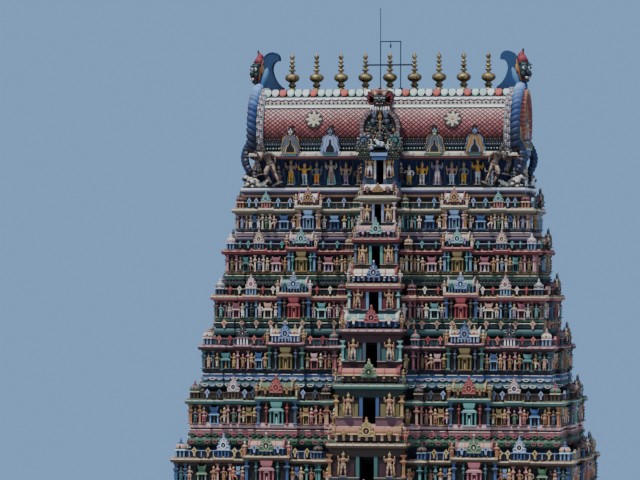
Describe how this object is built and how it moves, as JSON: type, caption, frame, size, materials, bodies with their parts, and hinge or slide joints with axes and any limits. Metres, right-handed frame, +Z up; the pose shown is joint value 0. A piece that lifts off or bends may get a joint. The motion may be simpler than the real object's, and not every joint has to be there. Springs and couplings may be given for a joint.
{
  "type": "half-size scale model of a temple gateway tower",
  "caption": "Half-size model of a stepped, painted temple gateway tower: granite base with a through passage, receding storeys with doors, barrel roof with a row of finials.",
  "frame": {"origin": "on the ground, under the middle of the tower", "axes": "+Z up, +X to the right along the roof ridge, -Y towards the front"},
  "size_m": [15.2, 11.95, 24.78],
  "materials": {
    "granite": "dressed granite, weathered",
    "plaster": "lime plaster over brick, painted in many matt colours",
    "eave_plaster": "moulded lime plaster, painted",
    "roof_plaster": "plaster scales, painted red and pink",
    "gable_plaster": "moulded lime plaster, painted blue",
    "gilt_copper": "gilded copper, dulled",
    "steel": "painted steel pipe, rusting"
  },
  "bodies": {
    "root": {"base_right": "granite", "base_left": "granite", "base_upper": "granite", "base_cornice": "granite", "storey_1_right_wall": "plaster", "storey_1_left_wall": "plaster", "storey_1_eave": "eave_plaster", "storey_2_right_wall": "plaster", "storey_2_left_wall": "plaster", "storey_2_eave": "eave_plaster", "storey_3_right_wall": "plaster", "storey_3_left_wall": "plaster", "storey_3_eave": "eave_plaster", "storey_4_right_wall": "plaster", "storey_4_left_wall": "plaster", "storey_4_eave": "eave_plaster", "storey_5_right_wall": "plaster", "storey_5_left_wall": "plaster", "storey_5_eave": "eave_plaster", "storey_6_right_wall": "plaster", "storey_6_left_wall": "plaster", "storey_6_eave": "eave_plaster", "storey_7_right_wall": "plaster", "storey_7_left_wall": "plaster", "storey_7_eave": "eave_plaster", "storey_8_right_wall": "plaster", "storey_8_left_wall": "plaster", "storey_8_eave": "eave_plaster", "neck_right_wall": "plaster", "neck_left_wall": "plaster", "neck_eave": "eave_plaster", "roof_vault": "roof_plaster", "gable_left": "gable_plaster", "gable_right": "gable_plaster", "front_arch": "gable_plaster", "back_arch": "gable_plaster", "finial_1": "gilt_copper", "finial_2": "gilt_copper", "finial_3": "gilt_copper", "finial_4": "gilt_copper", "finial_5": "gilt_copper", "finial_6": "gilt_copper", "finial_7": "gilt_copper", "finial_8": "gilt_copper", "finial_9": "gilt_copper", "lamp_frame": "steel", "lightning_rod": "steel"}
  },
  "joints": []
}
